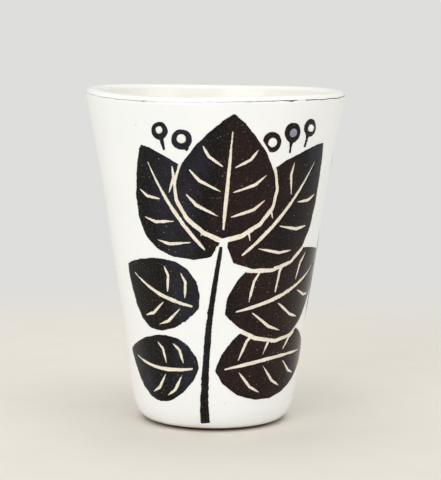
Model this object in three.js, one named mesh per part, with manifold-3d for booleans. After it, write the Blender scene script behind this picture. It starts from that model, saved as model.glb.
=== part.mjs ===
// Tapered ceramic tumbler without a handle: a clay body, a white coat outside, a cream coat
// inside, a dark line round the lip and a leaf sprig in dark slip laid on the outside.
// Millimetres, +Z up, the resting plane at z = 0 and the drawing's middle facing -Y.

import * as THREE from 'three';
import { mergeVertices } from 'three/addons/utils/BufferGeometryUtils.js';
import { TessellateModifier } from 'three/addons/modifiers/TessellateModifier.js';
import Module from 'manifold-3d';

const wasm = await Module();
wasm.setup();

const radians = THREE.MathUtils.degToRad;

// Body sizes
const height = 110;
const rimRadius = 42.75;
const lipRadius = 2.1;
const lipLean = radians(10.7);
const coat = 0.5;
const lipWall = 4.27;
const lowWall = 4.8;

// How far the side lies inside a straight line from the lower edge to the lip, on its way up
const sideStations = [
  { share: 0.05, inset: 0.04 },
  { share: 0.25, inset: 0.86 },
  { share: 0.47, inset: 0.8 },
  { share: 0.69, inset: 0.99 },
  { share: 0.89, inset: 0.38 },
];

// Rounded lower edge, a quarter ellipse that runs out into the side
const footOuterRadius = 20.5;
const footInnerRadius = 16.5;
const footHeight = 1;
const edgeRun = 6.8;
const edgeRise = 10;
const edgeEnd = radians(80);
const coatFootWidth = 1.1;

// Inside of the cup
const floorTop = 7;
const innerFlatRadius = 14.5;
const innerEdgeRise = 10;
const innerEdgeEnd = radians(82);

// The dark line, as a stretch of the lip's outer arc
const rimLineLow = radians(12.5);
const rimLineHigh = radians(20.5);

// Steps of the turned shapes
const turnSteps = 40;
const edgeSteps = 4;
const sideSteps = 7;
const lipSteps = 3;
const innerEdgeSteps = 4;
const fineSteps = 60;

// Slip drawing: how far the sheets stand off the coat, how thick they are, and their lines
const slipGap = 0.3;
const slipThickness = 0.4;
const outlineWidth = 1.1;
const pointOutline = 1.7;
const sheetEdge = 6.8;
const ribHalfWidth = 0.62;
const dotRim = 0.3;
const dotHeight = 0.9;
const dotSteps = 12;
const domeSteps = 3;
const arcSteps = 8;
const stalkHalfWidth = 0.55;
const stalkReach = 3.6;

// The sprig reaches from the foot margin to the rim margin, and its plan below is scaled to that
const rimMargin = 5.15;
const footMargin = 3.2;

// Leaves from the front one back: place of the base on the unrolled side (arc length to the
// right of the middle, height), turn from upright in degrees, length, width, bow of the midrib
const leafPlan = [
  { name: 'slip_leaf_top', s: 2.5, z: 65, turn: 5, length: 40, width: 33, bow: 0 },
  { name: 'slip_leaf_upper_right', s: 6, z: 57, turn: 44, length: 52, width: 30, bow: 2 },
  { name: 'slip_leaf_upper_left', s: -1, z: 59, turn: -34, length: 43, width: 27, bow: -2 },
  { name: 'slip_leaf_middle_right', s: 3.5, z: 40, turn: 70, length: 50, width: 29, bow: 2 },
  { name: 'slip_leaf_middle_left', s: -4.8, z: 42, turn: -66, length: 31, width: 25, bow: -2 },
  { name: 'slip_leaf_lower_right', s: 0.5, z: 21, turn: 86, length: 44, width: 27, bow: -2 },
  { name: 'slip_leaf_lower_left', s: -4.6, z: 22, turn: -84, length: 30, width: 23, bow: -2.5 },
  { name: 'slip_leaf_side', s: 57, z: 22, turn: 6, length: 50, width: 29, bow: 2 },
  { name: 'slip_leaf_side_top', s: 66, z: 73, turn: 20, length: 29, width: 20, bow: 0 },
];

// The stem's middle line and its width at each point
const stemPlan = [
  { s: -2.6, z: 3.2, width: 3.0 },
  { s: -2.9, z: 12, width: 2.6 },
  { s: -2.4, z: 25, width: 2.2 },
  { s: -1.2, z: 40, width: 1.9 },
  { s: 0.8, z: 54, width: 1.5 },
  { s: 2.2, z: 62.4, width: 1.1 },
];

// Berries: place, radius, direction of the short stalk in degrees, radius and colour of the dot
const berryPlan = [
  { s: 18.6, z: 95.6, radius: 3.3, stalk: 235, dot: 1.5, glaze: 'white' },
  { s: 26.2, z: 98.4, radius: 3.2, stalk: 262, dot: 1.4, glaze: 'lilac' },
  { s: 33.8, z: 99.6, radius: 2.9, stalk: 250, dot: 1.2, glaze: 'white' },
  { s: -10.6, z: 96.8, radius: 3.3, stalk: 300, dot: 1.5, glaze: 'white' },
  { s: -18.0, z: 99.4, radius: 2.9, stalk: 285, dot: 1.2, glaze: 'white' },
];

// The plan reaches from the lower end of its stem to the tip of its first leaf
const planBase = stemPlan[0].z;
const planTop = leafPlan[0].z + leafPlan[0].length * Math.cos(radians(leafPlan[0].turn));
const planScale = (height - rimMargin - footMargin) / (planTop - planBase);

function fromPlan(entry) {
  const placed = { ...entry, s: entry.s * planScale, z: footMargin + (entry.z - planBase) * planScale };
  for (const key of ['length', 'width', 'bow', 'radius', 'dot']) {
    if (key in entry) {
      placed[key] = entry[key] * planScale;
    }
  }
  return placed;
}

const leaves = leafPlan.map(fromPlan);
const stem = stemPlan.map(fromPlan);
const berries = berryPlan.map(fromPlan);

// Finishes
const finish = (color, roughness) => new THREE.MeshStandardMaterial({ color, roughness, metalness: 0 });
const clay = () => finish(0xa98d72, 0.85);
const whiteGlaze = () => finish(0xf3f3ef, 0.12);
const creamGlaze = () => finish(0xfbf1dc, 0.15);
const darkSlip = () => finish(0x2b2422, 0.12);
const lilacGlaze = () => finish(0x8f8ca3, 0.15);

const point = (r, z) => new THREE.Vector2(r, z);
const lipCentre = point(rimRadius - lipRadius, height - lipRadius);

function lipPoint(radius, angle) {
  return point(lipCentre.x + radius * Math.cos(angle), lipCentre.y + radius * Math.sin(angle));
}

function edgePoint(angle) {
  return point(footOuterRadius + edgeRun * Math.sin(angle), edgeRise * (1 - Math.cos(angle)));
}

function sample(steps, from, to, place) {
  const list = [];
  for (let i = 0; i <= steps; i += 1) {
    list.push(place(from + ((to - from) * i) / steps));
  }
  return list;
}

// Curve moved sideways by a distance, to the right of its direction of travel
function moved(curve, distance) {
  return curve.map((p, i) => {
    const before = curve[Math.max(i - 1, 0)];
    const after = curve[Math.min(i + 1, curve.length - 1)];
    const along = after.clone().sub(before).normalize();
    return point(p.x + along.y * distance, p.y - along.x * distance);
  });
}

// Outer side of the tumbler from the top of the foot ring to where the lip's arc starts
const edgeStart = Math.acos(1 - footHeight / edgeRise);
const sideStart = edgePoint(edgeEnd);
const sideEnd = lipPoint(lipRadius, -lipLean);
const sideCurve = new THREE.SplineCurve([
  sideStart,
  ...sideStations.map(({ share, inset }) => sideStart.clone().lerp(sideEnd, share).sub(point(inset, 0))),
  sideEnd,
]);

function outerSide(edges, sides) {
  const edge = sample(edges, edgeStart, edgeEnd, edgePoint);
  const side = sample(sides, 0, 1, (t) => sideCurve.getPoint(t));
  return [...edge, ...side.slice(1)];
}

const fineSide = outerSide(fineSteps, fineSteps);

// Radius of the outer side at a height, and its outward direction there
function sideAt(z) {
  const last = fineSide.length - 2;
  let i = 0;
  while (i < last && fineSide[i + 1].y < z) {
    i += 1;
  }
  const low = fineSide[i];
  const high = fineSide[i + 1];
  const share = (z - low.y) / (high.y - low.y);
  const along = high.clone().sub(low).normalize();
  return { radius: low.x + (high.x - low.x) * share, outward: point(along.y, -along.x) };
}

function innerRadius(z) {
  const share = (z - floorTop) / (height - floorTop);
  return sideAt(z).radius - lowWall - (lipWall - lowWall) * share;
}

// Inside of the tumbler from the flat of the floor to where the lip's arc ends
const innerEdgeTop = floorTop + innerEdgeRise * (1 - Math.cos(innerEdgeEnd));
const innerEdgeRun = (innerRadius(innerEdgeTop) - innerFlatRadius) / Math.sin(innerEdgeEnd);
const innerSideEnd = lipPoint(lipRadius, Math.PI - lipLean);

function innerEdgePoint(angle) {
  return point(
    innerFlatRadius + innerEdgeRun * Math.sin(angle),
    floorTop + innerEdgeRise * (1 - Math.cos(angle)),
  );
}

const innerSide = [
  ...sample(innerEdgeSteps, 0, innerEdgeEnd, innerEdgePoint),
  ...sample(sideSteps, innerEdgeTop, innerSideEnd.y, (z) => point(innerRadius(z), z)).slice(1, -1),
  innerSideEnd,
];

// Turned body from a profile that runs anticlockwise in (radius, height)
function turned(profile) {
  const geometry = new THREE.LatheGeometry(profile, turnSteps);
  geometry.rotateX(Math.PI / 2);
  return geometry;
}

const closed = (profile) => [...profile, profile[0]];

const outerCurve = outerSide(edgeSteps, sideSteps);
const clayOuter = [
  point(outerCurve[0].x - coatFootWidth, footHeight),
  ...moved(outerCurve, -coat).slice(1, -1),
];
const clayLip = lipRadius - coat;
const backOfLiner = [
  point(innerFlatRadius, floorTop - coat),
  ...moved(innerSide, coat).slice(1, -1),
];

function lipArc(radius, from, to) {
  return sample(lipSteps, from, to, (angle) => lipPoint(radius, angle));
}

// Top of the lip from the dark line over to the inner side, with a point at its very top
function lipTop(radius) {
  const top = Math.PI / 2;
  return [
    ...lipArc(radius, rimLineHigh, top),
    ...lipArc(radius, top, Math.PI - lipLean).slice(1),
  ];
}

function footRing() {
  const curve = sample(edgeSteps, 0, edgeStart, edgePoint);
  return turned(closed([point(footInnerRadius, 0), ...curve, point(footInnerRadius, footHeight)]));
}

function clayFloor() {
  return turned([
    point(0, footHeight),
    point(innerFlatRadius, footHeight),
    point(innerFlatRadius, floorTop - coat),
    point(0, floorTop - coat),
  ]);
}

// The lower edge and the wall share the joint between these points of the two clay curves
const jointOuter = edgeSteps + 1;
const jointInner = innerEdgeSteps;

function clayLowerEdge() {
  return turned(closed([
    point(innerFlatRadius, footHeight),
    ...clayOuter.slice(0, jointOuter + 1),
    ...backOfLiner.slice(0, jointInner + 1).reverse(),
  ]));
}

function clayWall() {
  return turned(closed([
    ...clayOuter.slice(jointOuter),
    ...lipArc(clayLip, -lipLean, rimLineLow),
    ...lipTop(clayLip),
    ...backOfLiner.slice(jointInner).reverse(),
  ]));
}

function outerCoat() {
  return turned(closed([
    ...outerCurve.slice(0, -1),
    ...lipArc(lipRadius, -lipLean, rimLineLow),
    ...lipArc(clayLip, -lipLean, rimLineLow).reverse(),
    ...clayOuter.slice().reverse(),
  ]));
}

function linerCoat() {
  return turned([
    point(0, floorTop - coat),
    ...backOfLiner,
    ...lipTop(clayLip).reverse(),
    ...lipTop(lipRadius),
    ...innerSide.slice(0, -1).reverse(),
    point(0, floorTop),
  ]);
}

function rimLine() {
  return turned(closed([
    lipPoint(clayLip, rimLineLow),
    lipPoint(lipRadius, rimLineLow),
    lipPoint(lipRadius, rimLineHigh),
    lipPoint(clayLip, rimLineHigh),
  ]));
}

// Point on the outer side at arc length s from the middle and height z, raised by a distance
function onSide(s, z, raise) {
  const { radius, outward } = sideAt(z);
  const angle = s / radius;
  const r = radius + outward.x * raise;
  return new THREE.Vector3(r * Math.sin(angle), -r * Math.cos(angle), z + outward.y * raise);
}

// Flat outline bent round the side as a sheet of even thickness
function sheet(shape, raise, thickness) {
  const extrusion = { depth: thickness, bevelEnabled: false, curveSegments: arcSteps };
  const flat = new THREE.ExtrudeGeometry(shape, extrusion);
  const splits = 12;
  const geometry = new TessellateModifier(sheetEdge, splits).modify(flat);
  const position = geometry.getAttribute('position');
  for (let i = 0; i < position.count; i += 1) {
    const bent = onSide(position.getX(i), position.getY(i), raise + position.getZ(i));
    position.setXYZ(i, bent.x, bent.y, bent.z);
  }
  geometry.deleteAttribute('normal');
  geometry.deleteAttribute('uv');
  return mergeVertices(geometry);
}

const slipSheet = (shape) => sheet(shape, slipGap, slipThickness);
const cuttingSheet = (shape) => sheet(shape, slipGap - slipThickness / 2, slipThickness * 2);

function solidOf(geometry) {
  return new wasm.Manifold(new wasm.Mesh({
    numProp: 3,
    vertProperties: new Float32Array(geometry.getAttribute('position').array),
    triVerts: new Uint32Array(geometry.index.array),
  }));
}

function geometryOf(solid) {
  const mesh = solid.getMesh();
  const geometry = new THREE.BufferGeometry();
  const vertices = new Float32Array(mesh.vertProperties);
  geometry.setAttribute('position', new THREE.BufferAttribute(vertices, mesh.numProp));
  geometry.setIndex(new THREE.BufferAttribute(new Uint32Array(mesh.triVerts), 1));
  geometry.computeVertexNormals();
  return geometry;
}

// Half width of a leaf at a share of its length: pointed at both ends, widest below the middle
function halfWidth(leaf, share) {
  const belly = 0.78;
  const fullness = 0.85;
  return (leaf.width / 2) * Math.max(Math.sin(Math.PI * share ** belly), 0) ** fullness;
}

const midrib = (leaf, share) => leaf.bow * Math.sin(Math.PI * share);

// From a leaf's own axes (across, along) to the unrolled side
function laid(leaf, [across, along]) {
  const turn = radians(leaf.turn);
  return point(
    leaf.s + across * Math.cos(turn) + along * Math.sin(turn),
    leaf.z - across * Math.sin(turn) + along * Math.cos(turn),
  );
}

const outlineShares = [0.05, 0.15, 0.28, 0.42, 0.56, 0.7, 0.84, 0.94];

function leafOutline(leaf) {
  const side = (sign) => outlineShares.map((t) => [
    midrib(leaf, t) + sign * halfWidth(leaf, t),
    leaf.length * t,
  ]);
  const points = [[0, 0], ...side(1), [0, leaf.length], ...side(-1).reverse()];
  return points.map((p) => laid(leaf, p));
}

function grown(leaf) {
  const turn = radians(leaf.turn);
  return {
    ...leaf,
    s: leaf.s - pointOutline * Math.sin(turn),
    z: leaf.z - pointOutline * Math.cos(turn),
    length: leaf.length + 2 * pointOutline,
    width: leaf.width + 2 * outlineWidth,
  };
}

// Midrib line scratched along a leaf, thick in its middle
function ribOutline(leaf) {
  const from = 0.07;
  const to = 0.86;
  const steps = 4;
  const blunt = 0.04;
  const belly = 0.7;
  const fullness = 0.6;
  const side = (sign) => sample(steps, from, to, (t) => {
    const share = blunt + ((1 - 2 * blunt) * (t - from)) / (to - from);
    const half = ribHalfWidth * Math.sin(Math.PI * share ** belly) ** fullness;
    return [midrib(leaf, t) + sign * half, leaf.length * t];
  });
  return [...side(1), ...side(-1).reverse()].map((p) => laid(leaf, p));
}

function leafShape(leaf) {
  const shape = new THREE.Shape(leafOutline(leaf));
  shape.holes.push(new THREE.Path(ribOutline(leaf)));
  return shape;
}

function stemShape(extra) {
  const side = (sign) => stem.map((p) => point(p.s + sign * (p.width / 2 + extra), p.z));
  return new THREE.Shape([...side(1), ...side(-1).reverse()]);
}

// Leaf sheet without what lies under the leaves in front of it and under the stem
function leafGeometry(leaf, inFront) {
  let solid = solidOf(slipSheet(leafShape(leaf)));
  for (const other of inFront) {
    solid = solid.subtract(solidOf(cuttingSheet(new THREE.Shape(leafOutline(grown(other))))));
  }
  solid = solid.subtract(solidOf(cuttingSheet(stemShape(outlineWidth))));
  return geometryOf(solid);
}

// Round berry with a short stalk, and a hole where its dot sits
function berryShape(berry) {
  const direction = radians(berry.stalk);
  const spread = Math.asin(stalkHalfWidth / berry.radius);
  const along = point(Math.cos(direction), Math.sin(direction));
  const across = point(-along.y, along.x).multiplyScalar(stalkHalfWidth);
  const tip = point(berry.s, berry.z).addScaledVector(along, berry.radius + stalkReach);
  const shape = new THREE.Shape();
  shape.absarc(berry.s, berry.z, berry.radius, direction + spread, direction - spread + 2 * Math.PI, false);
  shape.lineTo(tip.x - across.x, tip.y - across.y);
  shape.lineTo(tip.x + across.x, tip.y + across.y);
  const hole = new THREE.Path();
  hole.absarc(berry.s, berry.z, berry.dot + dotRim, 0, 2 * Math.PI, true);
  shape.holes.push(hole);
  return shape;
}

function berryGeometry(berry) {
  let solid = solidOf(slipSheet(berryShape(berry)));
  for (const leaf of leaves) {
    solid = solid.subtract(solidOf(cuttingSheet(new THREE.Shape(leafOutline(grown(leaf))))));
  }
  return geometryOf(solid);
}

// Low dome that stands on the side with its axis square to it
function dotMesh(name, berry) {
  const dome = sample(domeSteps, 0, Math.PI / 2, (angle) => point(
    berry.dot * Math.cos(angle),
    dotHeight * Math.sin(angle),
  ));
  const dotGlaze = berry.glaze === 'lilac' ? lilacGlaze() : whiteGlaze();
  const mesh = piece(name, new THREE.LatheGeometry([point(0, 0), ...dome], dotSteps), dotGlaze);
  const base = onSide(berry.s, berry.z, slipGap);
  const top = onSide(berry.s, berry.z, slipGap + 1);
  mesh.position.copy(base);
  mesh.quaternion.setFromUnitVectors(new THREE.Vector3(0, 1, 0), top.sub(base).normalize());
  return mesh;
}

function piece(name, geometry, material) {
  const mesh = new THREE.Mesh(geometry, material);
  mesh.name = name;
  return mesh;
}

const tumbler = new THREE.Group();
tumbler.add(
  piece('clay_wall', clayWall(), clay()),
  piece('clay_lower_edge', clayLowerEdge(), clay()),
  piece('clay_floor', clayFloor(), clay()),
  piece('foot_ring', footRing(), clay()),
  piece('outer_glaze', outerCoat(), whiteGlaze()),
  piece('liner_glaze', linerCoat(), creamGlaze()),
  piece('rim_line', rimLine(), darkSlip()),
);

const drawing = new THREE.Group();
drawing.add(piece('slip_stem', slipSheet(stemShape(0)), darkSlip()));
leaves.forEach((leaf, i) => {
  drawing.add(piece(leaf.name, leafGeometry(leaf, leaves.slice(0, i)), darkSlip()));
});
berries.forEach((berry, i) => {
  drawing.add(piece(`slip_berry_${i + 1}`, berryGeometry(berry), darkSlip()));
  drawing.add(dotMesh(`glaze_dot_${i + 1}`, berry));
});
tumbler.add(drawing);

export default tumbler;
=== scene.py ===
import math

import bmesh
import bpy
import numpy as np
from mathutils import Matrix, Vector, noise
from mathutils.geometry import delaunay_2d_cdt


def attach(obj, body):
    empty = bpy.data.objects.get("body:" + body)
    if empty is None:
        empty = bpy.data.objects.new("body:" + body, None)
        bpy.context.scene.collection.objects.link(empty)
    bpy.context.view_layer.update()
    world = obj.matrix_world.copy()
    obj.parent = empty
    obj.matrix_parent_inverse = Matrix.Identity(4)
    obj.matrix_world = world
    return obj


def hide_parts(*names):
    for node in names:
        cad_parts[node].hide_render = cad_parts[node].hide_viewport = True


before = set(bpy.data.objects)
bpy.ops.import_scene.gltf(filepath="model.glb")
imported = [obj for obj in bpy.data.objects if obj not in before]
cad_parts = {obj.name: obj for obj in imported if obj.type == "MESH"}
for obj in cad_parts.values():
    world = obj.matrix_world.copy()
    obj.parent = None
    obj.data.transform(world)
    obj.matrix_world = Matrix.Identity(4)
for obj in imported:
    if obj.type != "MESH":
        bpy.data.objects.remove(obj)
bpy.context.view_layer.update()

# A tapered glazed tumbler: white outside, cream inside, a dark line round the lip and a
# sprig of black slip leaves with lines scratched through them. Sizes are in millimetres.
mm = 0.001
tiny = 1e-12  # keeps a division safe

body = {
    "height": 110.0,
    "rimRadius": 42.75,
    "lipRadius": 2.1,
    "lipLean": math.radians(10.7),
    "coat": 0.5,  # thickness of the white coat and of the cream one
    "lipWall": 4.27,
    "lowWall": 4.8,
    # the side bends in from a straight line: share of the way up, and how far
    "sideInsets": [(0.05, 0.04), (0.25, 0.86), (0.47, 0.8), (0.69, 0.99), (0.89, 0.38)],
    "footOuter": 20.5,
    "footInner": 16.5,
    "footHeight": 1.0,
    "edgeRun": 6.8,
    "edgeRise": 10.0,
    "edgeEnd": math.radians(80),
    "coatFootWidth": 1.1,
    "floorTop": 7.0,
    "innerFlat": 14.5,
    "innerRise": 10.0,
    "innerEnd": math.radians(82),
}

hand = {
    "wobble": 0.2,  # how far the side leaves a true circle
    "feature": 38.0,  # length of one wave of it
    "waveDetail": 1.0,
    "wobbleBetween": (12.0, 26.0),  # it sets in over these distances from the axis
    "sideSeed": 3.1,
    "rimShake": 0.1,  # small unevenness of the rim
    "rimSeed": 8.6,
    "rimFrom": 0.55,  # share of the height where the rim's rise and fall set in
    "rimRise": 0.05,  # of the whole rim, before its waves
    # the rim warped in drying: waves round it, height of each, degrees from the front to its peak
    "rimWaves": [(1, 0.23, -85), (2, 0.34, 75), (3, 0.21, 18), (4, 0.07, 20)],
}


# small helpers for node trees

def join(tree, node, inputs):
    # a socket is linked in, any other value is set
    for name, value in inputs.items():
        if isinstance(value, bpy.types.NodeSocket):
            tree.links.new(value, node.inputs[name])
        else:
            node.inputs[name].default_value = value


def addNode(tree, kind, settings=None, inputs=None):
    node = tree.nodes.new(kind)
    for name, value in (settings or {}).items():
        setattr(node, name, value)
    join(tree, node, inputs or {})
    return node


def newGroup(name, kind, inputs, outputs):
    # an input is given by its first value, or by its kind where it has none
    group = bpy.data.node_groups.new(name, kind)
    for label, given in inputs.items():
        kindName = {float: "Float", int: "Int"}.get(type(given), given)
        socket = group.interface.new_socket(label, in_out="INPUT", socket_type=f"NodeSocket{kindName}")
        if kindName != given:
            socket.default_value = given
    for label, given in outputs.items():
        group.interface.new_socket(label, in_out="OUTPUT", socket_type=f"NodeSocket{given}")
    return group, group.nodes.new("NodeGroupInput").outputs, group.nodes.new("NodeGroupOutput")


def newMaterial(name):
    material = bpy.data.materials.new(name)
    material.use_nodes = True
    tree = material.node_tree
    return material, tree, tree.nodes["Principled BSDF"]


def newObject(name, data):
    made = bpy.data.objects.new(name, data)
    bpy.context.scene.collection.objects.link(made)
    return made


def srgb(*parts):
    shares = [c / 255 for c in parts]
    return tuple(c / 12.92 if c <= 0.04045 else ((c + 0.055) / 1.055) ** 2.4 for c in shares) + (1.0,)


def mathNode(tree, operation, a, b=None, clamp=False):
    inputs = {i: value for i, value in enumerate((a, b)) if value is not None}
    return addNode(tree, "ShaderNodeMath", {"operation": operation, "use_clamp": clamp}, inputs).outputs[0]


def times(tree, first, *others):
    for other in others:
        first = mathNode(tree, "MULTIPLY", first, other)
    return first


def plus(tree, a, b):
    return mathNode(tree, "ADD", a, b)


def minus(tree, a, b):
    return mathNode(tree, "SUBTRACT", a, b)


def mixColour(tree, factor, a, b):
    return addNode(tree, "ShaderNodeMix", {"data_type": "RGBA"}, {0: factor, 6: a, 7: b}).outputs[2]


def ramp(tree, value, low, high, toLow=0.0, toHigh=1.0):
    return addNode(tree, "ShaderNodeMapRange", {"interpolation_type": "SMOOTHSTEP"}, {
        "Value": value, "From Min": low, "From Max": high, "To Min": toLow, "To Max": toHigh,
    }).outputs["Result"]


def noiseNode(tree, place, scale, detail, roughness=0.5, seed=None):
    inputs = {"Vector": place, "Scale": scale, "Detail": detail, "Roughness": roughness}
    if seed is None:
        return addNode(tree, "ShaderNodeTexNoise", None, inputs).outputs["Fac"]
    settings = {"noise_dimensions": "4D"}
    return addNode(tree, "ShaderNodeTexNoise", settings, dict(inputs, W=seed)).outputs["Fac"]


def cellNode(tree, place, scale):
    settings = {"feature": "F1"}
    return addNode(tree, "ShaderNodeTexVoronoi", settings, {"Vector": place, "Scale": scale}).outputs


def stretched(tree, place, scale):
    return addNode(tree, "ShaderNodeMapping", None, {"Vector": place, "Scale": scale}).outputs["Vector"]


def vectorNode(tree, operation, inputs):
    return addNode(tree, "ShaderNodeVectorMath", {"operation": operation}, inputs).outputs


def vectorOf(tree, parts):
    return addNode(tree, "ShaderNodeCombineXYZ", None, parts).outputs[0]


def partsOf(tree, vector):
    return addNode(tree, "ShaderNodeSeparateXYZ", None, {0: vector}).outputs


def lengthOf(tree, vector):
    return vectorNode(tree, "LENGTH", {0: vector})["Value"]


def levelPart(tree, place):
    # the part of a place that lies across the axis
    return vectorNode(tree, "MULTIPLY", {0: place, 1: (1.0, 1.0, 0.0)})["Vector"]


def objectPlace(tree):
    return addNode(tree, "ShaderNodeTexCoord").outputs["Object"]


# camera and stage

view = {
    "distance": 629.0,  # from the tumbler's axis
    "height": 142.8,
    "pitch": 0.131,  # in radians, as the yaw and the roll
    "yaw": -0.0032,
    "roll": 0.0073,
    "focalPixels": 1899.0,
    "photoHeight": 480.0,
    "sensor": 36.0,
    "clip": (10.0, 20000.0),
}


def makeCamera():
    data = bpy.data.cameras.new("photoCamera")
    data.sensor_fit = "VERTICAL"
    data.sensor_height = view["sensor"]
    data.sensor_width = view["sensor"]
    data.lens = view["focalPixels"] * view["sensor"] / view["photoHeight"]
    data.clip_start, data.clip_end = (distance * mm for distance in view["clip"])
    camera = newObject("photoCamera", data)
    turn = (
        Matrix.Rotation(view["yaw"], 4, "Z")
        @ Matrix.Rotation(math.pi / 2 - view["pitch"], 4, "X")
        @ Matrix.Rotation(view["roll"], 4, "Z")
    )
    place = Matrix.Translation((0, -view["distance"] * mm, view["height"] * mm))
    camera.matrix_world = place @ turn
    bpy.context.scene.camera = camera


# the stage and the lamps are in metres
stage = {
    "floorRadius": 4.0,
    "floorSides": 64,
    "floorColour": srgb(240, 234, 225),
    "floorDeep": 0.94,  # its darkest patches, as a share of its colour
    "floorNoise": (60.0, 5.0),  # scale and detail
    "floorRoughness": 0.85,
    "floorSpecular": 0.15,
    "background": srgb(222, 222, 220),
    "fadeFrom": 0.14,  # the floor's own colour ends here and runs out into the background
    "fadeTo": 0.34,
    "worldStrength": 0.89,
    "lampsAim": (0, 0, 0.05),
}
lamps = {
    "keyLamp": {"place": (-0.8, -1.35, 0.52), "size": 1.2, "power": 8.9, "colour": (0.97, 0.985, 1.0)},
    "fillLamp": {"place": (1.3, -0.7, 0.6), "size": 1.0, "power": 3.8, "colour": (0.96, 0.98, 1.0)},
    "topLamp": {"place": (0.05, -0.1, 1.45), "size": 1.0, "power": 4.4, "colour": (1.0, 1.0, 1.0)},
}


def backgroundRays(tree):
    rays = addNode(tree, "ShaderNodeLightPath").outputs
    seen = plus(tree, rays["Is Camera Ray"], rays["Is Glossy Ray"])
    return mathNode(tree, "ADD", seen, rays["Is Transmission Ray"], clamp=True)


def makeFloor():
    material, tree, shader = newMaterial("paleFloor")
    place = objectPlace(tree)
    pale = stage["floorColour"]
    deep = tuple(c * stage["floorDeep"] for c in pale[:3]) + (1.0,)
    grain = noiseNode(tree, place, *stage["floorNoise"])
    join(tree, shader, {
        "Base Color": mixColour(tree, grain, deep, pale),
        "Roughness": stage["floorRoughness"],
        "Specular IOR Level": stage["floorSpecular"],
    })
    far = ramp(tree, lengthOf(tree, place), stage["fadeFrom"], stage["fadeTo"])
    glow = addNode(tree, "ShaderNodeEmission", None, {"Color": stage["background"], "Strength": 1.0})
    blend = addNode(tree, "ShaderNodeMixShader", None, {
        0: times(tree, far, backgroundRays(tree)), 1: shader.outputs[0], 2: glow.outputs[0],
    })
    join(tree, tree.nodes["Material Output"], {"Surface": blend.outputs[0]})
    sides = stage["floorSides"]
    angles = [2 * math.pi * i / sides for i in range(sides)]
    ring = [(stage["floorRadius"] * math.cos(a), stage["floorRadius"] * math.sin(a), 0) for a in angles]
    mesh = bpy.data.meshes.new("floor")
    mesh.from_pydata(ring, [], [range(sides)])
    mesh.materials.append(material)
    newObject("floor", mesh)


def makeLamp(name, lamp):
    data = bpy.data.lights.new(name, "AREA")
    data.shape = "DISK"
    data.size = lamp["size"]
    data.energy = lamp["power"]
    data.color = lamp["colour"]
    light = newObject(name, data)
    light.visible_camera = False
    aim = Vector(stage["lampsAim"]) - Vector(lamp["place"])
    light.matrix_world = Matrix.Translation(lamp["place"]) @ aim.to_track_quat("-Z", "Y").to_matrix().to_4x4()


def makeWorld():
    world = bpy.data.worlds.new("paleRoom")
    world.use_nodes = True
    tree = world.node_tree
    join(tree, tree.nodes["Background"], {
        "Color": stage["background"],
        "Strength": ramp(tree, backgroundRays(tree), 0.0, 1.0, stage["worldStrength"], 1.0),
    })
    bpy.context.scene.world = world


makeCamera()
makeFloor()
makeWorld()
for name, lamp in lamps.items():
    makeLamp(name, lamp)
bpy.context.scene.view_settings.view_transform = "Standard"
print("camera, floor and lamps are in place")


# finishes
# skin: scale of the mottle and of the specks, size of the specks, share of the cells with one.
# gloss: roughness from the low to the high end of the mottle, or of the grains in bare clay.
# relief: strength and depth. noise: scale, detail and, where it isn't plain, roughness.

glazeGrain = {
    "mottle": (3.0, 0.55),  # detail and roughness
    "mottleBetween": (0.3, 0.7),
    "rings": (14.0, 14.0, 420.0),  # left by turning: quick changes up the side, slow ones round it
    "ringNoise": (1.0, 2.0),
    "swellNoise": (190.0, 2.0),
}


def glazeSkinGroup():
    group, into, out = newGroup(
        "glazeSkin", "ShaderNodeTree",
        {"Mottle Scale": 60.0, "Speck Scale": 700.0, "Speck Size": 0.2, "Speck Share": 0.1},
        {"Mottle": "Float", "Specks": "Float", "Ripple": "Float", "Height": "Float"},
    )
    place = objectPlace(group)
    mottle = noiseNode(group, place, into["Mottle Scale"], *glazeGrain["mottle"])

    # some cells hold a speck, each of its own size
    cells = cellNode(group, place, into["Speck Scale"])
    pick = addNode(group, "ShaderNodeSeparateColor", None, {"Color": cells["Color"]}).outputs
    chosen = mathNode(group, "LESS_THAN", pick[0], into["Speck Share"])
    size = times(group, into["Speck Size"], pick[1])
    near = mathNode(group, "LESS_THAN", cells["Distance"], size)

    # faint rings, and the slow swell of the glaze over them
    rings = noiseNode(group, stretched(group, place, glazeGrain["rings"]), *glazeGrain["ringNoise"])
    swell = noiseNode(group, place, *glazeGrain["swellNoise"])
    join(group, out, {
        "Mottle": ramp(group, mottle, *glazeGrain["mottleBetween"]),
        "Specks": times(group, chosen, near),
        "Ripple": times(group, plus(group, rings, swell), 0.5),
        "Height": times(group, partsOf(group, place)["Z"], 1 / mm),
    })
    return group


glazeSkin = glazeSkinGroup()


def skinOf(tree, finish):
    names = ("Mottle Scale", "Speck Scale", "Speck Size", "Speck Share")
    values = dict(zip(names, finish["skin"]))
    return addNode(tree, "ShaderNodeGroup", {"node_tree": glazeSkin}, values).outputs


def speckled(tree, skin, colour, finish):
    return mixColour(tree, times(tree, skin["Specks"], finish["speckShow"]), colour, finish["speck"])


def glossOf(tree, mask, finish):
    return ramp(tree, mask, 0.0, 1.0, *finish["gloss"])


def makeMaterial(name, finish, paint):
    # paint gives the colour, the roughness and the height of the relief
    material, tree, shader = newMaterial(name)
    colour, rough, height = paint(tree, finish)
    strength, depth = finish["relief"]
    bump = addNode(tree, "ShaderNodeBump", None, {
        "Strength": strength, "Distance": depth * mm, "Height": height,
    })
    join(tree, shader, {
        "Base Color": colour,
        "Roughness": rough,
        "Specular IOR Level": finish["specular"],
        "Normal": bump.outputs["Normal"],
    })
    return material


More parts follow.
